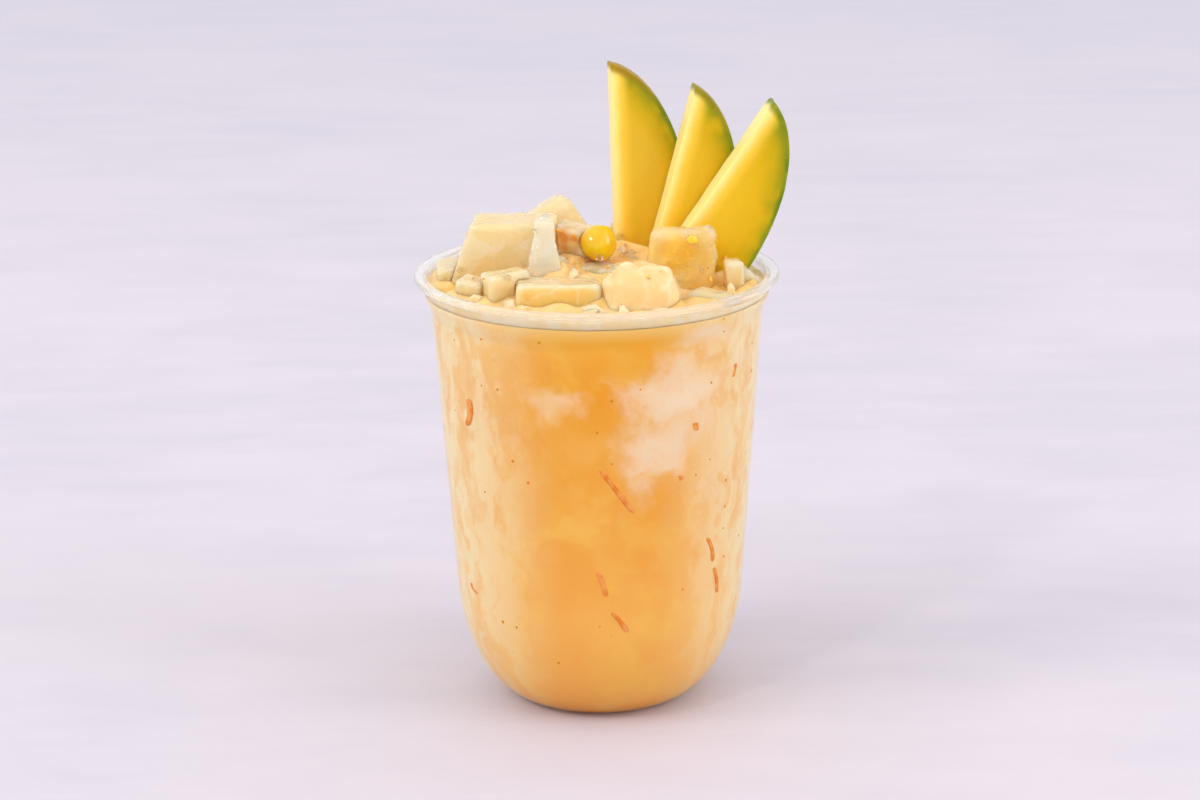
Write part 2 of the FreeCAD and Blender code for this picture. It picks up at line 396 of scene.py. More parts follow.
def milk_tea():
    """The drink: orange in the middle, pale streaks at both sides with a painted reflection there, clouds of
    milk, and specks of fruit.
    """
    s = Shader("milk_tea", Roughness=0.5, Specular_IOR_Level=0.0)
    across, back, up = s.split("X"), s.split("Y"), s.split("Z")
    warped = s.warped(9.0, 16.0, detail=3.0)
    base = s.ramp(
        s.fit(up, 0.0, LEVEL, smooth=False),
        (0.0, through_wall(240, 150, 60)), (0.06, through_wall(250, 168, 80)),
        (0.25, through_wall(248, 168, 78)), (0.7, through_wall(240, 154, 52)),
        (0.9, through_wall(240, 152, 40)), (0.965, through_wall(250, 168, 50)),
        (1.0, through_wall(254, 198, 112)),
    )
    yellower = s.fit(s.noise(14.0, place=warped), 0.45, 0.75, 0.0, 0.6)
    base = s.mix(yellower, base, through_wall(252, 192, 84))
    paler = s.fit(s.noise(18.0, place=warped), 0.35, 0.75, 0.0, 0.5)
    base = s.mix(paler, base, through_wall(254, 184, 90))

    # Pale sides: milky streaks, with a painted reflection that makes both sides of the drink paler.
    stretched = s.node("Mapping", {"Vector": warped, "Scale": (1.0, 1.0, 0.22)})
    streaks = s.fit(s.noise(6.0, place=stretched), 0.32, 0.62, 0.5, 1.1)
    left = s.maths("MULTIPLY", s.fit(across, -8.0, -40.0), streaks, clamp=True)
    right = s.maths("MULTIPLY", s.fit(across, 12.0, 41.0, 0.0, 0.95), streaks, clamp=True)
    base = s.mix(s.maths("MAXIMUM", left, right), base, through_wall(255, 224, 170))

    clouds = s.fit(back, -8.0, 14.0, 0.0, 0.42)
    for x, z, half_width, half_height, strength in MILK_CLOUDS:
        reach = (half_width * CLOUD_SPREAD, CLOUD_DEPTH, half_height * CLOUD_SPREAD)
        cloud = s.maths("MULTIPLY", s.blob((x, CLOUD_FRONT, z), reach, warped), strength)
        clouds = s.maths("MAXIMUM", clouds, cloud)
    wisps = s.maths("ADD", s.noise(13.0, 5.0, 0.6, place=warped), clouds)
    milk = s.maths("MULTIPLY", s.fit(wisps, 0.64, 1.56), 0.85)
    colour = s.mix(milk, base, through_wall(252, 224, 190))

    spacing = 3.6
    kind = s.split("Y", s.cells(spacing, out="Color"))
    fruit = s.mix(kind, through_wall(232, 118, 26), through_wall(206, 140, 20))
    colour = s.mix(s.specks(spacing, 0.13, rarity=3.0), colour, fruit)
    s.drive(Base_Color=colour, Normal=s.bump(s.noise(2.0), 0.05))
    return s.material


def build_cup():
    """The clear cup as one closed shell: outside from the middle of the bottom up, and inside down again."""
    outer, inner = corner_profile(0, 0), corner_profile(WALL, FLOOR)
    ring, under_rim, below_neck = FOOT_RADIUS - FOOT_WIDTH, CUP_HEIGHT - RIM_DROP, NECK_HEIGHT - 4
    bottom = softened([(0, FOOT_RECESS), (ring - FOOT_RECESS, FOOT_RECESS), (ring, 0), outer[0]], FOOT_EASE)
    side = outer[1:] + up_the_wall(outer[-1], 0)[:-1]
    top = softened(
        [
            side[-1], (NECK_RADIUS, NECK_HEIGHT), (COLLAR_RADIUS, SHOULDER_HEIGHT),
            (COLLAR_RADIUS, under_rim), (RIM_RADIUS, under_rim), (RIM_RADIUS, CUP_HEIGHT),
            (MOUTH_RADIUS, CUP_HEIGHT), (MOUTH_RADIUS, bend(SHOULDER_HEIGHT, WALL)),
            (NECK_RADIUS - WALL * SLANT, bend(NECK_HEIGHT, WALL)),
            (wall_radius(below_neck, WALL), below_neck),
        ],
        RIM_EASE,
    )
    inner_side = [p for p in up_the_wall(inner[-1], WALL) if p[1] < below_neck - 2]
    inside = inner_side[::-1] + inner[::-1] + [(0, FLOOR + FOOT_RECESS)]
    wall = clear_plastic("clear_wall", 1.0, (0.04, 0.09))
    rim = clear_plastic("hazy_rim", 0.8, (0.14, 0.22))
    shell = turned("cup_shell", bottom + side + top[1:] + inside)
    finish_piece(shell, [wall, rim], "cup", "cup")
    return second_material(shell, lambda middle: middle.z > under_rim - RIM_DROP)


def build_drink():
    """The drink up to its level, a little way into the wall."""
    inset = WALL - INTO_WALL
    lower = corner_profile(inset, FLOOR - INTO_WALL)
    wall = [p for p in up_the_wall(lower[-1], inset) if p[1] < NECK_HEIGHT - 2]
    mouth = COLLAR_RADIUS - inset
    top = [
        (wall_radius(NECK_HEIGHT, inset), bend(NECK_HEIGHT, inset)), (mouth, bend(SHOULDER_HEIGHT, inset)),
        (mouth, LEVEL), (mouth * 0.66, LEVEL), (mouth * 0.33, LEVEL), (0, LEVEL),
    ]
    profile = [(0, FLOOR + FOOT_RECESS - INTO_WALL)] + lower + wall + top
    return finish_piece(turned("drink_fill", profile), milk_tea(), "drink", "drink")


# ------------------------ ice

ICE_VOXEL = 0.55  # size of the even mesh's squares
EASE_FACTOR, EASE_ROUNDS = 0.5, 3  # how its edges are eased
LUMPY = ("ice_mound", "ice_clear")  # cubes melted to soft lumps
CRISP = ("ice_shard", "ice_amber")  # cubes with plain broken facets
CRISP_FACETS, MELTED_FACETS = 0.7, 0.15
CLEAR_OF_WALL = 0.05  # how far ice stays from the wall above the drink
HIDDEN_FROM_WALL = 0.8  # and in the drink, which hides it
CLOUDY = (1.0, 0.92, 0.84)  # how far red, green and blue light spread in ice, as shares

# Fruit that shows through a cube, painted on it as patches of colour: middle and half sizes of each patch,
# and its colour.
FRUIT_BEHIND = [
    ((22.0, 0.0, 123.0), (11.0, 60.0, 7.5), srgb(255, 208, 48)),
    ((30.0, 0.0, 112.0), (11.0, 60.0, 6.0), srgb(255, 192, 84)),
]
# Orange outlines seen through the amber cube, painted on it in the same way.
AMBER_LINES = [((-7.5, 0.0, 124.5), (5.0, 40.0, 3.0), srgb(250, 170, 70))]


def ice(name, clear, *colours, soak=14.0, scatter=3.5, glows=()):
    """Ice clouded by milk tea, with a colour for its sides, a paler one for faces that look upwards, which is
    painted light from above, and a richer one low down, up to soak millimetres above the drink, less so on
    the faces that look upwards. clear is the share of light that goes through it, scatter how many
    millimetres the rest spreads in it. Each glow is a painted patch of fruit seen through the ice: middle,
    half sizes and colour."""
    side, top, low = (srgb(*colour) for colour in colours)
    s = Shader(
        name, Transmission_Weight=clear, IOR=1.2, Subsurface_Weight=1.0, Subsurface_Scale=scatter * MM,
        Subsurface_Radius=CLOUDY, Coat_Weight=0.35, Coat_Roughness=0.05, Coat_IOR=1.4,
    )
    # Painted light: faces that look upwards get the paler top colour, as if lit from above.
    upward = s.split("Z", s.node("NewGeometry", {}, out="Normal"))
    cloudy = s.fit(s.noise(8.0, 2.0), 0.3, 0.7, -0.3, 0.3, smooth=False)
    painted_top_light = s.fit(s.maths("ADD", upward, cloudy), 0.0, 0.9)
    height = s.maths("ADD", s.split("Z"), s.fit(s.noise(9.0, 2.0), 0.2, 0.8, -5.0, 5.0, smooth=False))
    soaked = s.maths("MULTIPLY", s.fit(height, LEVEL + soak, LEVEL - 2.0), s.maths("SUBTRACT", 1.0, painted_top_light))
    colour = s.mix(soaked, s.mix(painted_top_light, side, top), low)

    swirl = s.vector("MULTIPLY", s.noise(6.0, 2.0, out="Color"), (5.0, 5.0, 5.0))
    swirled = s.vector("ADD", s.place, swirl)
    crack = s.cells(12.0, place=swirled, feature="DISTANCE_TO_EDGE")
    colour = s.mix(s.fit(crack, 0.05, 0.0, 0.0, 0.25), colour, srgb(255, 242, 220))
    shade = s.split("X", s.cells(12.0, out="Color", place=swirled))
    colour = s.mix(s.fit(shade, 0.2, 0.9, 0.0, 0.4), colour, low)
    # Painted refraction: patches of fruit and outlines seen through the ice.
    for centre, half_sizes, seen in glows:
        colour = s.mix(s.blob(centre, half_sizes, s.warped(5.0, 9.0)), colour, seen)
    # Painted highlight: the faces near sharp edges turn paler, as bright rims.
    colour = s.mix(s.fit(s.attribute("edge"), 0.1, 1.0, 0.0, 0.6), colour, srgb(255, 236, 206))
    colour = s.mix(s.specks(6.0, 0.06), colour, srgb(214, 150, 84))

    frosted = s.fit(s.noise(6.0, 2.0), 0.35, 0.7)
    relief = s.bump(s.noise(2.0, 2.0), 0.2, under=s.bump(s.noise(6.0, 2.0), 0.4))
    s.drive(Base_Color=colour, Roughness=s.fit(frosted, 0.0, 1.0, 0.06, 0.3), Normal=relief)
    return s.material


def ice_looks():
    """The usual look of the cubes, that of the broken chips, and the looks of single cubes by node."""
    usual = ice("wet_ice", 0.33, (255, 234, 194), (255, 226, 178), (255, 216, 140))
    broken = ice("broken_ice", 0.2, (255, 226, 178), (255, 222, 172), (255, 212, 144), scatter=1.0)
    whitish = ice("whitish_ice", 0.45, (255, 248, 232), (255, 246, 234), (255, 238, 208), scatter=2.0)
    clear = ice("clear_ice", 0.5, (255, 228, 156), (255, 238, 200), (255, 220, 134), glows=FRUIT_BEHIND)
    amber = ice("amber_ice", 0.45, (255, 230, 176), (255, 236, 200), (255, 214, 128), glows=AMBER_LINES)
    lit = ice("lit_ice", 0.25, (255, 214, 126), (255, 224, 176), (255, 204, 104), soak=8.0)
    milky = ice("milky_ice", 0.1, (250, 214, 156), (248, 208, 150), (250, 214, 154))
    single = {
        "ice_shard": whitish, "ice_clear": clear, "ice_amber": amber, "ice_front": lit, "ice_mound": milky,
    }
    return usual, broken, single


def remeshed(node, name):
    """A copy of a CAD node with an even mesh, its sharp edges eased."""
    piece = outwards(new_object(name, nodes[node].data.copy()))
    modifier = piece.modifiers.new("even", "REMESH")
    modifier.mode, modifier.voxel_size = "VOXEL", ICE_VOXEL * MM
    modifier = piece.modifiers.new("ease", "SMOOTH")
    modifier.factor, modifier.iterations = EASE_FACTOR, EASE_ROUNDS
    bpy.context.view_layer.update()
    even = bpy.data.meshes.new_from_object(piece.evaluated_get(bpy.context.evaluated_depsgraph_get()))
    piece.modifiers.clear()
    piece.data = even
    even.polygons.foreach_set("use_smooth", [True] * len(even.polygons))
    return piece


def keep_inside(points):
    """Draws points that lie in the cup's wall back to its inside, and further where the drink hides them."""
    for point in points:
        height = point[2]
        if height > CUP_HEIGHT:
            continue
        limit = inner_radius(height) - (CLEAR_OF_WALL if height > LEVEL else HIDDEN_FROM_WALL)
        radius = math.hypot(point[0], point[1])
        if radius > limit:
            point[:2] *= limit / radius


def surface_of(mesh):
    """The points of a mesh, in millimetres, and its normals there."""
    places, normals = np.empty(len(mesh.vertices) * 3), np.empty(len(mesh.vertices) * 3)
    mesh.vertices.foreach_get("co", places)
    mesh.vertices.foreach_get("normal", normals)
    return places.reshape(-1, 3) / MM, normals.reshape(-1, 3)


def sink_surface(piece, depth_at, in_cup=False):
    """Moves each point of a mesh inwards by depth_at(point), in millimetres."""
    places, normals = surface_of(piece.data)
    depths = np.array([depth_at(Vector(p)) for p in places])
    places -= normals * depths[:, None]
    if in_cup:
        keep_inside(places)
    piece.data.vertices.foreach_set("co", (places * MM).ravel())
    piece.data.update()
    return piece


def lumpy_depth(point):
    """How far the surface of a cube melted to soft lumps lies within the cube, at a point."""
    lumps = 2.4 * noise.voronoi(point * 0.11)[0][0] + 0.3 * noise.noise(point * 0.35)
    return 1.2 * min(lumps, 1.2) - 0.3


def melted(seed, facet_depth):
    """How far the melted surface of a cube lies within the cube: a function of the point."""
    shift = Vector((seed * 17.0, seed * 5.0, 0.0))

    def depth(point):
        place = point + shift
        hollows = 0.5 * noise.noise(place * 0.11)
        dents = 0.14 * noise.noise(place * 0.33)
        facets = facet_depth * (noise.voronoi(place * 0.22)[0][0] - 0.4)
        return hollows + dents + facets

    return depth


def keep_edges(piece, rounds=5, sharpest=0.05):
    """Keeps how sharply each point of a piece stands out, from 0 to 1, as the attribute edge."""
    mesh = piece.data
    places, normals = surface_of(mesh)
    pairs = np.empty(len(mesh.edges) * 2, int)
    mesh.edges.foreach_get("vertices", pairs)
    pairs = pairs.reshape(-1, 2)
    ends, others = np.concatenate([pairs, pairs[:, ::-1]]).T
    count = np.maximum(np.bincount(ends, minlength=len(places)), 1)

    def averaged(values):
        return np.bincount(ends, weights=values[others], minlength=len(places)) / count

    middles = np.stack([averaged(places[:, axis]) for axis in range(3)], axis=1)
    sharp = ((places - middles) * normals).sum(axis=1)
    for _ in range(rounds):
        sharp = averaged(sharp)
    edge = np.clip(sharp / sharpest, 0, 1).astype(np.float32)
    mesh.attributes.new("edge", "FLOAT", "POINT").data.foreach_set("value", edge)
    return piece


def build_ice(usual, single):
    pieces = []
    for seed, node in enumerate(n for n in nodes if n.startswith("ice_")):
        facet_depth = CRISP_FACETS if node in CRISP else MELTED_FACETS
        piece = remeshed(node, node + "_melted")
        sink_surface(piece, lumpy_depth if node in LUMPY else melted(seed, facet_depth), in_cup=True)
        keep_edges(piece)
        pieces.append(finish_piece(piece, single.get(node, usual), "ice", node))
    return pieces


def tree_of(pieces):
    """A search tree over the faces of several pieces, in millimetres."""
    points, faces = [], []
    for piece in pieces:
        corners = [v.co / MM for v in piece.data.vertices]
        add_shape(points, faces, corners, [f.vertices for f in piece.data.polygons])
    return BVHTree.FromPolygons(points, faces)


# ------------------------ slush and chips

SLUSH_RINGS = 80
SLUSH_FLOOR = LEVEL - 0.3  # its flat underside, inside the drink
SLUSH_OPEN = 0.8  # how high it stands over the drink in the open
PUSHED_UP = 2.0  # how much higher against the wall, where it is highest
PUSH_START, PUSH_WIDTH = 37.0, 6.0
PUSH_BEARING = 230  # degrees, at the front left
HEAPED = 7.0  # how much higher in the middle of the heap
HEAP_BACK, HEAP_HALF_WIDTH, HEAP_HALF_DEPTH = 3.0, 34.0, 25.0
CLIMB, CLIMB_WIDTH = 3.4, 2.7  # how high it climbs up a cube, and how near that starts

CHIP_COUNT = 70
CHIP_SIZES = (1.4, 3.8)  # half sizes, least and most
CHIP_BEARINGS = (225, 260, 300, 150, 60)  # degrees: they lie round these, mostly at the front
CHIP_SPREAD = 45
CHIP_REACH, CHIP_LIMIT = 41.0, 43.0  # how far out their middles and their ends may lie


def slush_side():
    """The slush where it lies against the wall."""
    s = Shader("slush_side", Roughness=0.5, Specular_IOR_Level=0.0)
    s.drive(Base_Color=s.mix(s.patches(5.0), through_wall(254, 218, 160), through_wall(254, 232, 192)))
    return s.material


def slush():
    """Crushed ice and foam of milk tea."""
    s = Shader("slush", Roughness=0.25, IOR=1.33, **scattering(1.0, 4.0, 3.5, 3.0))
    colour = s.mix(s.patches(6.0), srgb(250, 194, 112), srgb(250, 206, 144))
    s.drive(Base_Color=colour, Normal=s.bump(s.noise(1.8, 2.0), 0.3))
    return s.material


def slush_level(x, y):
    """Height of the slush in the open. It is pushed up against the wall, most at the front left, and
    stands higher between the cubes of the heap."""
    turn = math.atan2(y, x) - math.radians(PUSH_BEARING)
    near_wall = min(1.0, max(0.0, (math.hypot(x, y) - PUSH_START) / PUSH_WIDTH)) ** 1.5
    pushed_up = PUSHED_UP * (0.6 + 0.4 * math.cos(turn)) * near_wall
    between = max(0.0, 1.0 - (x / HEAP_HALF_WIDTH) ** 2 - ((y - HEAP_BACK) / HEAP_HALF_DEPTH) ** 2)
    swell = (0.4 + between) * noise.noise(Vector((x, y, 3.0)) * 0.11)
    return LEVEL + SLUSH_OPEN + pushed_up + HEAPED * between**0.7 + swell


def slush_height(x, y, cubes):
    """Height of the slush, which climbs up the cubes where it meets them, less so beside the wall."""
    level = slush_level(x, y)
    gap = cubes.find_nearest(Vector((x, y, level + 1.0)))[3]
    uneven = 0.7 + 0.6 * noise.noise(Vector((x, y, 5.0)) * 0.16)
    climb = CLIMB * math.exp(-((gap / CLIMB_WIDTH) ** 2)) * uneven
    lumps = 0.35 * noise.noise(Vector((x, y, 9.0)) * 0.3)
    by_wall = min(1.0, (MOUTH_RADIUS - math.hypot(x, y)) / 2.5)
    highest = CUP_HEIGHT + 1.5 * by_wall + max(0.0, level - LEVEL - 3.0)
    return min(level + lumps + climb * by_wall, highest)


def build_slush(cubes):
    """Crushed ice and foam on top of the drink, closed below by a flat face inside the drink."""
    mouth = MOUTH_RADIUS + INTO_WALL
    places = [(0, 0)]
    for ring in range(1, SLUSH_RINGS + 1):
        places += circle(mouth * ring / SLUSH_RINGS)
    points = [(x, y, slush_height(x, y, cubes)) for x, y in places]
    points += [(x, y, SLUSH_FLOOR) for x, y in places[-ROUND_SEGMENTS:]]
    points.append((0, 0, SLUSH_FLOOR))
    piece = outwards(mesh_object("slush_top", points, ring_faces(SLUSH_RINGS + 1, ROUND_SEGMENTS)))
    finish_piece(piece, [slush(), slush_side()], "ice")
    side_radius = mouth - mouth / SLUSH_RINGS / 4
    return second_material(piece, lambda middle: math.hypot(middle.x, middle.y) > side_radius)


def chip(draw, half_sizes):
    """Points and faces of one angular chip of ice with eased edges, about the origin."""
    mesh = bmesh.new()
    for _ in range(draw.randint(8, 12)):
        direction = Vector([draw.gauss(0, 1) for _ in range(3)]).normalized()
        mesh.verts.new([d * h for d, h in zip(direction, half_sizes)])
    hull = bmesh.ops.convex_hull(mesh, input=mesh.verts)
    bmesh.ops.delete(mesh, geom=hull["geom_interior"] + hull["geom_unused"], context="VERTS")
    bmesh.ops.bevel(
        mesh, geom=mesh.edges[:], offset=0.14 * min(half_sizes), segments=2, profile=0.5, affect="EDGES",
        clamp_overlap=True,
    )
    return points_and_faces(mesh)


def build_chips(material, keep_clear):
    """Small broken ice lying in the slush between the cubes, clear of the fruit."""
    draw = random.Random(11)
    points, faces, placed = [], [], 0
    while placed < CHIP_COUNT:
        radius = CHIP_REACH * math.sqrt(draw.random())
        bearing = math.radians(draw.choice(CHIP_BEARINGS) + draw.uniform(-CHIP_SPREAD, CHIP_SPREAD))
        x, y = radius * math.cos(bearing), radius * math.sin(bearing)
        half_sizes = [draw.uniform(*CHIP_SIZES) for _ in range(3)]
        centre = Vector((x, y, slush_level(x, y) + draw.uniform(0.0, 1.6)))
        gap = keep_clear.find_nearest(centre)[3]
        if gap < max(half_sizes) + 0.6 or radius + max(half_sizes) > CHIP_LIMIT:
            continue
        corners, sides = chip(draw, half_sizes)
        add_shape(points, faces, [centre + corner for corner in corners], sides)
        placed += 1
    piece = outwards(mesh_object("crushed_ice", points, faces))
    return finish_piece(keep_edges(piece, rounds=0, sharpest=0.2), material, "ice")


# ------------------------ mango

SLICE_RINGS = 150  # along a slice
SLICE_EASE = 0.8  # how far its edges are rounded off
BLUSHES = (0.15, 0.6, 1.0)  # how far each slice's skin has turned from green to red, front one first
PEARL_LUMPS = 0.06  # of its radius


def mango():
    """Flesh and skin by the depth under the skin and the distance from the cut beside the stone."""
    s = Shader("mango", Specular_IOR_Level=0.25, IOR=1.4, **scattering(0.3, 3.0, 1.8, 0.5))
    depth, stone, along = s.attribute("skin_depth"), s.attribute("stone_depth"), s.attribute("along")
    blushed = s.attribute("blush")
    uneven = s.maths("MULTIPLY", s.maths("SUBTRACT", s.noise(5.0), 0.5), 1.6)
    depth = s.maths("ADD", depth, s.maths("MULTIPLY", uneven, s.fit(depth, 0.2, 2.0)))
    flesh = s.ramp(
        s.fit(depth, 0.0, 12.0, smooth=False),
        (0.0, srgb(122, 134, 4)), (0.12, srgb(158, 150, 2)), (0.28, srgb(198, 166, 0)),
        (0.5, srgb(222, 178, 4)), (1.0, srgb(232, 188, 26)),
    )
    flesh = s.mix(s.fit(s.noise(9.0, 2.0), 0.45, 0.7, 0.0, 0.5), flesh, srgb(228, 180, 0))
    riper = s.maths("MULTIPLY", blushed, s.fit(depth, 2.0, 8.0, 0.0, 0.45))
    flesh = s.mix(riper, flesh, srgb(220, 184, 62))
    # Painted light: the flesh turns paler towards the cut beside the stone, which widens the lit strip of
    # that cut.
    edge = s.maths("ADD", stone, s.maths("MULTIPLY", uneven, 0.6))
    flesh = s.mix(s.fit(edge, 5.4, 1.6), flesh, srgb(246, 204, 68))
    flesh = s.mix(s.fit(edge, 2.8, 0.2), flesh, srgb(251, 228, 142))

    skin = s.mix(s.patches(8.0), srgb(100, 126, 8), srgb(136, 146, 10))
    blush = s.maths("MULTIPLY", s.fit(along, 0.6, 1.0, 0.0, 0.75), blushed)
    skin = s.mix(blush, skin, srgb(176, 128, 24))
    dots = s.maths("MULTIPLY", s.fit(s.cells(1.7), 0.16, 0.1), 0.45)
    skin = s.mix(dots, skin, srgb(186, 176, 70))
    colour = s.mix(s.fit(depth, 1.5, 0.4), flesh, skin)

    fibres = s.node("Mapping", {"Vector": s.attribute("fruit", out="Vector"), "Scale": (1.0, 1.0, 0.16)})
    grain = s.bump(s.noise(0.7, place=fibres), 0.1)
    s.drive(Base_Color=colour, Normal=grain, Roughness=s.fit(s.noise(2.0), 0.3, 0.7, 0.3, 0.5))
    return s.material


def jelly():
    """The pearl's clear yellow jelly."""
    s = Shader(
        "jelly", Transmission_Weight=0.3, IOR=1.36, Roughness=0.06, Coat_Weight=0.6, Coat_Roughness=0.02,
        **scattering(1.0, 4.0, 2.5, 0.5),
    )
    colour = s.mix(s.patches(4.0), srgb(255, 200, 0), srgb(255, 216, 12))
    s.drive(Base_Color=colour, Normal=s.bump(s.noise(3.0, 2.0), 0.4))
    return s.material


def slice_ring(height, face=18, stone=5, skin=9):
    """The outline of a slice's cross-section at a height along the fruit's axis. face, stone and skin are
    the points between the ends of its sides."""
    radius = MANGO_HALF_WIDTH * math.sqrt(max(0.0, 1 - (height / MANGO_HALF_LENGTH) ** 2))
    chord = math.sqrt(max(1e-6, radius**2 - STONE_CUT**2))
    half = 1 / math.sqrt((2 / SLICE_THICKNESS) ** 2 + 1 / chord**2)
    far = math.sqrt(radius**2 - half**2)
    swing = math.atan2(half, far)
    turns = [swing * (2 * i / (skin + 1) - 1) for i in range(skin + 2)]
    sides = [
        [(STONE_CUT, half * (1 - 2 * i / (stone + 1))) for i in range(stone + 2)],
        [(STONE_CUT + (far - STONE_CUT) * i / (face + 1), -half) for i in range(face + 2)],
        [(radius * math.cos(turn), radius * math.sin(turn)) for turn in turns],
        [(far + (STONE_CUT - far) * i / (face + 1), half) for i in range(face + 2)],
    ]
    outline = []
    for side, following in zip(sides, sides[1:] + sides[:1]):
        before, corner, after = Vector(side[-2]), Vector(side[-1]), Vector(following[1])
        outline += side[1:-2]
        into, out = before - corner, after - corner
        reach = min(into.length / 2, out.length / 2, SLICE_EASE)
        start, end = corner + into.normalized() * reach, corner + out.normalized() * reach
        outline.append(tuple(before))
        outline += rounded_corner(start, corner, end, 4)
    return outline


def build_slice(order, node, blush):
    """A slice of mango cheek from its cross-sections, with the depth under the skin kept for its colours."""
    across, tip_up, lean = SLICES[node]
    tip = MANGO_HALF_LENGTH * math.sqrt(1 - (STONE_CUT / MANGO_HALF_WIDTH) ** 2)
    heights = [-tip * math.cos(math.pi * i / SLICE_RINGS) for i in range(1, SLICE_RINGS)]
    local = [(STONE_CUT, 0.0, -tip)]
    for height in heights:
        local += [(x, y, height) for x, y in slice_ring(height)]
    local.append((STONE_CUT, 0.0, tip))
    faces = ring_faces(len(heights), (len(local) - 2) // len(heights))

    turn = math.radians(FAN_TURN)
    plane = FAN_OFFSET - order * (SLICE_THICKNESS + SLICE_GAP)
    tip_back = (across * math.sin(turn) - plane) / math.cos(turn)
    placed = (
        Matrix.Translation((across, tip_back, tip_up))
        @ Matrix.Rotation(turn, 4, "Z")
        @ Matrix.Rotation(math.radians(lean), 4, "Y")
        @ Matrix.Translation((-STONE_CUT, 0, -tip))
    )
    piece = mesh_object(node + "_cut", [placed @ Vector(p) for p in local], faces)

    fruit = np.array(local)
    from_axis = (fruit[:, 0] ** 2 + fruit[:, 1] ** 2) / MANGO_HALF_WIDTH**2
    share = np.sqrt(from_axis + fruit[:, 2] ** 2 / MANGO_HALF_LENGTH**2)
    kept = {
        "skin_depth": (1 - share) * MANGO_HALF_WIDTH,
        "stone_depth": fruit[:, 0] - STONE_CUT,
        "along": fruit[:, 2] / tip,
        "blush": np.full(len(fruit), blush),
    }
    for name, values in kept.items():
        piece.data.attributes.new(name, "FLOAT", "POINT").data.foreach_set("value", values.astype(np.float32))
    vectors = piece.data.attributes.new("fruit", "FLOAT_VECTOR", "POINT")
    vectors.data.foreach_set("vector", (fruit + 100.0 * order).astype(np.float32).ravel())
    outwards(piece, weld=False)
    return sink_surface(piece, lambda p: 0.12 + 0.12 * noise.noise(p * 0.16) + 0.05 * noise.noise(p * 0.6))


def build_pearl():
    """The jelly pearl, a ball with slight lumps."""
    low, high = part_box("mango_pearl")
    centre, radius = (low + high) / 2 / MM, (high.z - low.z) / 2 / MM
    directions, faces = ball(1.0, 5)
    sizes = [1 - PEARL_LUMPS + PEARL_LUMPS * noise.noise(direction * 1.4) for direction in directions]
    points = [centre + direction * radius * size for direction, size in zip(directions, sizes)]
    return finish_piece(mesh_object("jelly_pearl", points, faces), jelly(), "pearl", "mango_pearl")


def build_mango():
    flesh = mango()
    slices = [
        finish_piece(build_slice(order, node, blush), flesh, "mango", node)
        for order, (node, blush) in enumerate(zip(SLICES, BLUSHES))
    ]
    return slices + [build_pearl()]


# ------------------------ shreds in the drink

# Shreds against the wall: start and end as (across, up), and half widths at both ends.
SHREDS = [
    ((0.3, 73.2), (8.6, 61.2), 0.7, 0.95), ((-0.6, 45.4), (1.4, 38.6), 0.8, 0.7),
    ((3.0, 34.0), (6.8, 28.4), 0.6, 0.8), ((27.6, 50.6), (29.0, 43.4), 0.75, 0.8),
    ((29.4, 41.4), (30.2, 34.0), 0.8, 0.8), ((-32.8, 88.0), (-33.4, 80.4), 1.3, 1.3),
    ((-33.4, 35.6), (-32.0, 33.4), 0.6, 0.8), ((24.5, 83.2), (24.9, 81.0), 1.0, 0.8),
    ((20.4, 69.6), (20.6, 68.4), 0.7, 0.6), ((35.0, 96.0), (34.4, 92.6), 0.7, 0.6),
]
SHRED_STEPS, SHRED_SIDES = 24, 10
SHRED_BEND = 0.6  # how far a shred's middle may lie beside its straight line
SHRED_HALF_DEPTH = 0.3
SHRED_INSET = WALL - 0.12  # its middle lies just within the inside of the wall


def shred_flesh():
    """Fibrous fruit seen through the wall."""
    s = Shader("shred_flesh", Roughness=0.4, Specular_IOR_Level=0.0)
    colour = s.mix(s.patches(2.5), through_wall(232, 122, 44), through_wall(244, 156, 80))
    s.drive(Base_Color=colour, Normal=s.bump(s.noise(0.5), 0.1))
    return s.material


def against_wall(x, z, inset):
    """The point on the front of the surface inset into the wall, at a place across and up."""
    if z > CORNER_HEIGHT:
        radius = wall_radius(z, inset)
    else:
        reach = wall_radius(CORNER_HEIGHT) - FOOT_RADIUS
        radius = FOOT_RADIUS + reach * math.sqrt(1 - ((CORNER_HEIGHT - z) / CORNER_HEIGHT) ** 2) - inset
    return Vector((x, -math.sqrt(max(0.0, radius**2 - x**2)), z))


def build_shreds():
    """Flat shreds of fruit with tapered ends, each a closed tube along its line."""
    draw = random.Random(5)
    points, faces = [], []
    for start, end, first, last in SHREDS:
        bow = draw.uniform(-SHRED_BEND, SHRED_BEND)
        base = len(points)
        for i in range(SHRED_STEPS + 1):
            t = i / SHRED_STEPS
            x = start[0] + (end[0] - start[0]) * t + bow * math.sin(math.pi * t)
            z = start[1] + (end[1] - start[1]) * t
            taper = math.sin(math.pi * min(0.5, 0.06 + min(t, 1 - t) * 6))
            width = (first + (last - first) * t) * taper * (1 + 0.2 * noise.noise(Vector((x, z, 0)) * 1.3))
            centre = against_wall(x, z, SHRED_INSET)
            out = Vector((centre.x, centre.y, 0)).normalized()
            side = Vector((-out.y, out.x, 0))
            for k in range(SHRED_SIDES):
                a = 2 * math.pi * k / SHRED_SIDES
                points.append(centre + side * width * math.cos(a) + out * SHRED_HALF_DEPTH * math.sin(a))
        for i in range(SHRED_STEPS):
            for k in range(SHRED_SIDES):
                a, b = base + i * SHRED_SIDES, base + (i + 1) * SHRED_SIDES
                following = (k + 1) % SHRED_SIDES
                faces.append((a + k, a + following, b + following, b + k))
        for ring in (base, base + SHRED_STEPS * SHRED_SIDES):
            faces.append(tuple(ring + k for k in range(SHRED_SIDES)))
    shreds = outwards(mesh_object("mango_shreds", points, faces))
    return finish_piece(shreds, shred_flesh(), "drink")


# ------------------------ small things on the ice

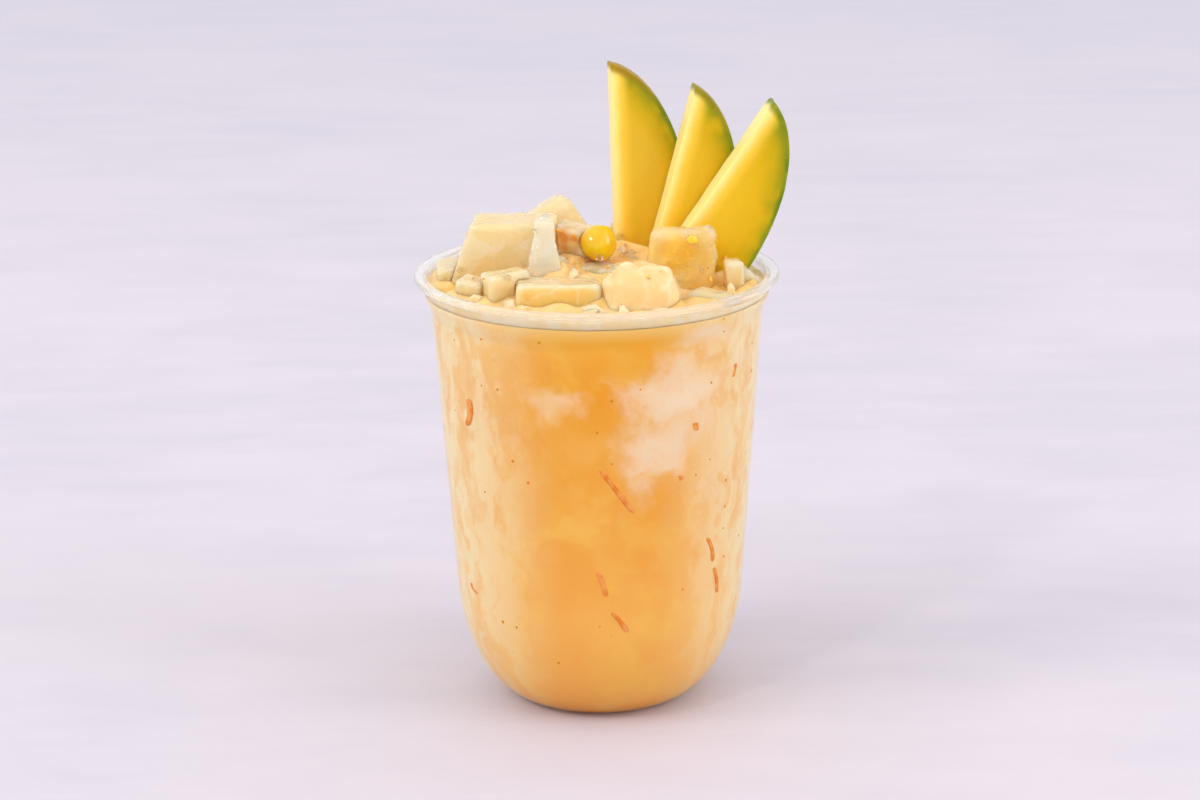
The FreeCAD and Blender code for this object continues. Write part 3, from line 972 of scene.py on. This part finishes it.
# Slivers of clear ice, where they are seen from the front and a little above: across, up and size.
SLIVERS = [
    (6.7, 124.3, 2.0), (8.2, 121.6, 1.6), (7.4, 118.4, 1.8), (9.4, 119.8, 1.0), (-13.2, 128.6, 1.2),
    (-15.4, 125.0, 1.0), (31.1, 115.5, 1.3), (26.9, 114.4, 1.2), (-24.0, 113.2, 1.1), (4.6, 113.4, 1.2),
    (-31.2, 112.4, 1.0), (-22.6, 112.4, 1.2), (-35.4, 115.4, 1.0), (29.0, 125.4, 0.7), (1.0, 118.4, 1.4),
]
BUBBLE_RING = (-2.7, 115.9, 3.3, 1.5)  # seen in the same way: middle, half width and half height
BUBBLE_COUNT = 15
BUBBLE_RADII = (0.45, 0.85)

# Bits of mango, seen in the same way: across, up, half sizes, lean in degrees, kind of flesh.
ORANGE, YELLOW, GREENISH, PEACH = range(4)
BITS = [
    (3.0, 115.3, (0.6, 0.6, 3.0), 42, ORANGE), (3.4, 128.3, (0.9, 0.8, 1.9), 4, PEACH),
    (24.4, 122.2, (1.9, 0.8, 1.5), 30, YELLOW), (13.1, 111.9, (0.9, 0.6, 0.5), 20, GREENISH),
    (29.0, 111.6, (1.8, 0.8, 0.9), 60, ORANGE), (-9.4, 125.6, (2.4, 0.5, 0.5), 25, ORANGE),
    (-5.5, 123.9, (1.6, 0.5, 0.6), 50, ORANGE), (-33.3, 125.0, (0.4, 0.4, 0.3), 0, PEACH),
    (-28.6, 112.4, (0.5, 0.4, 0.3), 10, ORANGE), (33.4, 118.0, (0.5, 0.5, 1.3), 20, ORANGE),
]
FLESH_COLOURS = {
    ORANGE: (srgb(240, 146, 40), srgb(250, 176, 66)), YELLOW: (srgb(248, 196, 30), srgb(253, 214, 70)),
    GREENISH: (srgb(198, 176, 70), srgb(222, 200, 96)), PEACH: (srgb(240, 170, 116), srgb(250, 198, 150)),
}
SIGHT = Vector((0, math.cos(math.radians(16)), -math.sin(math.radians(16))))
SIGHT_START = 90.0  # in front of the cup's axis


def bit_flesh(kind):
    """Fruit flesh of one kind."""
    low, high = FLESH_COLOURS[kind]
    s = Shader(f"bit_{kind}", Roughness=0.2, **scattering(0.6, 2.0, 1.5, 1.0))
    s.drive(Base_Color=s.mix(s.patches(1.5), low, high), Normal=s.bump(s.noise(0.6), 0.12))
    return s.material


def water():
    """Melting ice as clear as water, and the skin of a bubble."""
    s = Shader("water", Transmission_Weight=1.0, IOR=1.4)
    s.drive(
        Base_Color=s.mix(s.noise(2.0), srgb(255, 254, 250), srgb(255, 248, 234)),
        Roughness=s.fit(s.noise(1.5), 0.3, 0.7, 0.01, 0.05), Normal=s.bump(s.noise(0.8, 1.0), 0.08),
    )
    return s.material


def lying_at(heap, across, up):
    """The point of the heap that is seen at a place across and up, and the way it faces: two times None
    where nothing is seen."""
    return heap.ray_cast(Vector((across, 0, up)) - SIGHT * SIGHT_START, SIGHT)[:2]


def build_slivers(heap):
    """Slivers of clear ice that catch the light, and a ring of bubbles."""
    draw = random.Random(8)
    points, faces = [], []
    for across, up, size in SLIVERS:
        place, normal = lying_at(heap, across, up)
        if place is None:
            continue
        corners, sides = chip(draw, (size, 0.6 * size, 0.8 * size))
        add_shape(points, faces, [place + corner + normal * 0.2 * size for corner in corners], sides)
    middle_x, middle_z, half_x, half_z = BUBBLE_RING
    for k in range(BUBBLE_COUNT):
        turn = 2 * math.pi * k / BUBBLE_COUNT + draw.uniform(-0.15, 0.15)
        place, _ = lying_at(heap, middle_x + half_x * math.cos(turn), middle_z + half_z * math.sin(turn))
        if place is None:
            continue
        corners, sides = ball(draw.uniform(*BUBBLE_RADII), 3)
        add_shape(points, faces, [place + corner for corner in corners], sides)
    return finish_piece(outwards(mesh_object("clear_slivers", points, faces)), water(), "ice")


def build_bits(heap):
    """Small bits of mango lying on the ice and the slush."""
    draw = random.Random(21)
    points, faces, kinds = [], [], []
    for across, up, half_sizes, lean, kind in BITS:
        place, normal = lying_at(heap, across, up)
        if place is None:
            continue
        corners, sides = chip(draw, half_sizes)
        leaned = Matrix.Rotation(math.radians(lean), 3, "Y")
        raised = place + normal * 0.3 * min(half_sizes)
        add_shape(points, faces, [raised + leaned @ corner for corner in corners], sides)
        kinds += [kind] * len(sides)
    piece = outwards(mesh_object("mango_bits", points, faces))
    piece.data.polygons.foreach_set("material_index", kinds)
    return finish_piece(piece, [bit_flesh(kind) for kind in sorted(FLESH_COLOURS)], "mango")


# ------------------------ stage

FLOOR_HALF = 3000.0
AMBIENT = 0.98
WHITE = srgb(255, 255, 255)
BEHIND = srgb(229, 225, 235)

# Round lamps: place in metres, size in metres, power in watts, colour.
LAMPS = {
    "key": ((-2.8, -1.2, 2.0), 1.8, 34.0, (1.0, 0.99, 0.97)),
    "front": ((2.8, -1.4, 1.6), 2.2, 37.0, (1.0, 0.99, 0.99)),
    "glint": ((-1.1, -1.7, 1.9), 0.2, 7.0, (1.0, 1.0, 1.0)),
}
LENS = 102.6
SENSOR = 36.0
CAMERA_DISTANCE = 0.9  # metres, from the point that the camera looks at
CAMERA_AIM = (0.0005, 0.0, 0.0801)
CAMERA_RISE = 15.92  # degrees above level
CAMERA_ROLL = 0.65


def backdrop():
    """Pale lilac board with faint streaks and blotches, and painted shade that makes it a little darker and
    bluer further back.
    """
    s = Shader("backdrop", Roughness=0.85)
    stretched = s.node("Mapping", {"Vector": s.place, "Scale": (0.3, 1.0, 1.0)})
    streaks = s.fit(s.noise(26.0, 5.0, 0.6, place=stretched), 0.3, 0.7)
    blotches = s.fit(s.noise(170.0, 4.0, 0.6), 0.35, 0.65)
    colour = s.mix(blotches, srgb(203, 197, 210), srgb(211, 203, 214))
    colour = s.mix(s.maths("MULTIPLY", streaks, 0.5), colour, srgb(216, 208, 219))
    # Painted shade: the board turns darker and bluer further back.
    colour = s.mix(s.fit(s.split("Y"), 100.0, 1700.0, 0.0, 0.8), colour, srgb(198, 195, 209))
    s.drive(Base_Color=colour, Normal=s.bump(s.noise(4.0, 4.0, place=stretched), 0.15))
    return s.material


def build_floor():
    corners = [(x * FLOOR_HALF, y * FLOOR_HALF, 0) for x, y in ((-1, -1), (1, -1), (1, 1), (-1, 1))]
    floor = mesh_object("floor", corners, [(0, 1, 2, 3)])
    floor.data.materials.append(backdrop())


def build_world():
    """Even light from all round. Gloss and clear things show white, the camera sees the board's colour."""
    world = bpy.data.worlds.new("studio")
    bpy.context.scene.world = world
    world.use_nodes = True
    tree = world.node_tree
    path = tree.nodes.new("ShaderNodeLightPath")
    bounced = tree.nodes.new("ShaderNodeMath")
    bounced.operation = "MAXIMUM"
    tree.links.new(path.outputs["Is Glossy Ray"], bounced.inputs[0])
    tree.links.new(path.outputs["Is Transmission Ray"], bounced.inputs[1])
    lit, seen = tree.nodes.new("ShaderNodeMix"), tree.nodes.new("ShaderNodeMix")
    lit.data_type = seen.data_type = "RGBA"
    lit.inputs[6].default_value = (AMBIENT, AMBIENT, AMBIENT, 1.0)
    lit.inputs[7].default_value = WHITE
    seen.inputs[7].default_value = BEHIND
    tree.links.new(bounced.outputs[0], lit.inputs[0])
    tree.links.new(path.outputs["Is Camera Ray"], seen.inputs[0])
    tree.links.new(lit.outputs[2], seen.inputs[6])
    tree.links.new(seen.outputs[2], tree.nodes["Background"].inputs["Color"])


def build_lamps():
    """Round lamps that face the middle of the cup."""
    middle = Vector((0, 0, CUP_HEIGHT / 2 * MM))
    for name, (place, size, power, colour) in LAMPS.items():
        lamp = bpy.data.lights.new(name, "AREA")
        lamp.shape, lamp.size, lamp.energy, lamp.color = "DISK", size, power, colour
        made = new_object(name, lamp)
        made.location = place
        made.rotation_euler = (middle - Vector(place)).to_track_quat("-Z", "Y").to_euler()


def build_camera():
    camera = new_object("camera", bpy.data.cameras.new("camera"))
    camera.data.lens, camera.data.sensor_width = LENS, SENSOR
    camera.data.clip_start, camera.data.clip_end = 0.01, 20.0
    rise = math.radians(CAMERA_RISE)
    back = Vector((0, -math.cos(rise), math.sin(rise)))
    camera.location = Vector(CAMERA_AIM) + back * CAMERA_DISTANCE
    aim = (-back).to_track_quat("-Z", "Y")
    camera.rotation_mode = "QUATERNION"
    camera.rotation_quaternion = aim @ Matrix.Rotation(math.radians(-CAMERA_ROLL), 3, "Z").to_quaternion()
    bpy.context.scene.camera = camera
    bpy.context.scene.view_settings.view_transform = "Standard"


build_floor()
build_world()
build_lamps()
build_camera()
build_cup()
build_drink()
usual, broken, single = ice_looks()
cubes = build_ice(usual, single)
top = build_slush(tree_of(cubes))
fruit = build_mango()
chips = build_chips(broken, tree_of(fruit))
heap = tree_of([*cubes, top, chips, *fruit])
build_slivers(heap)
build_bits(heap)
build_shreds()
